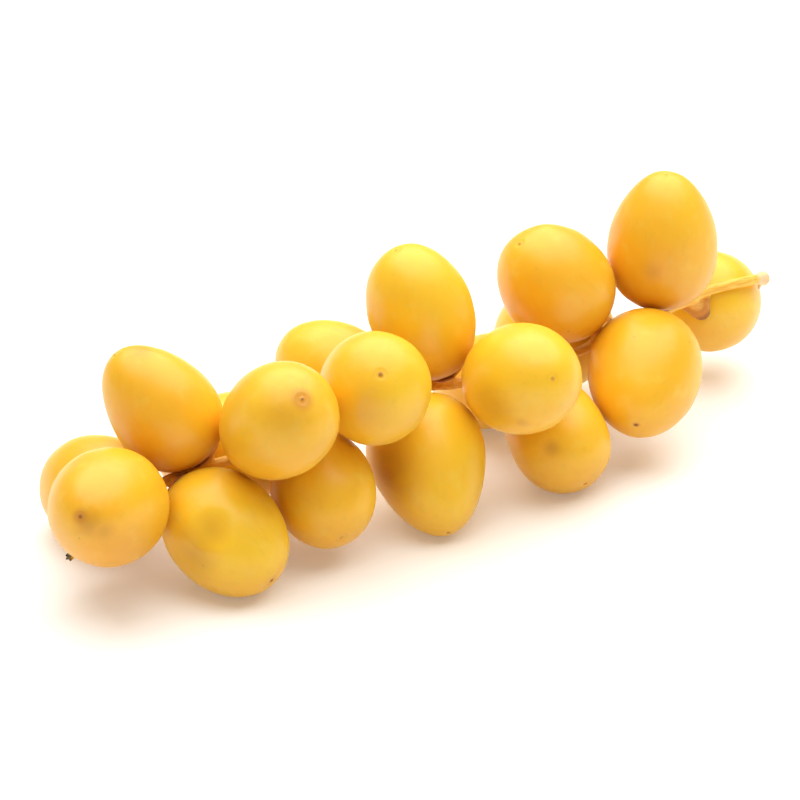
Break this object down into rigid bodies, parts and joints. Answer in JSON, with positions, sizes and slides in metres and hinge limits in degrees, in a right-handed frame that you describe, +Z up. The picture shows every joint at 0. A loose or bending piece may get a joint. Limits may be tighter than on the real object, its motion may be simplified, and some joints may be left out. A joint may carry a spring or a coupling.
{
  "type": "strand of khalal dates",
  "caption": "A picked strand of yellow, crisp dates: plump oval fruits seated in small cups along a zigzag stalk, lying on a surface.",
  "frame": {"origin": "on the surface the cluster lies on, under the middle of its bounding box", "axes": "+X along the strand from its dried tip to its torn end, +Z up from the surface"},
  "size_m": [0.2156, 0.08, 0.0666],
  "materials": {
    "skin": "waxy satin yellow fruit skin with a few brown flecks",
    "stalk": "matt fibrous tan stalk, dark and dried at the tip, pale where it is torn"
  },
  "bodies": {
    "root": {"strand": "stalk", "date_01": "skin", "date_02": "skin", "date_03": "skin", "date_04": "skin", "date_05": "skin", "date_06": "skin", "date_07": "skin", "date_08": "skin", "date_09": "skin", "date_10": "skin", "date_11": "skin", "date_12": "skin", "date_13": "skin", "date_14": "skin", "date_15": "skin", "date_16": "skin", "date_17": "skin", "date_18": "skin", "date_19": "skin"}
  },
  "joints": []
}
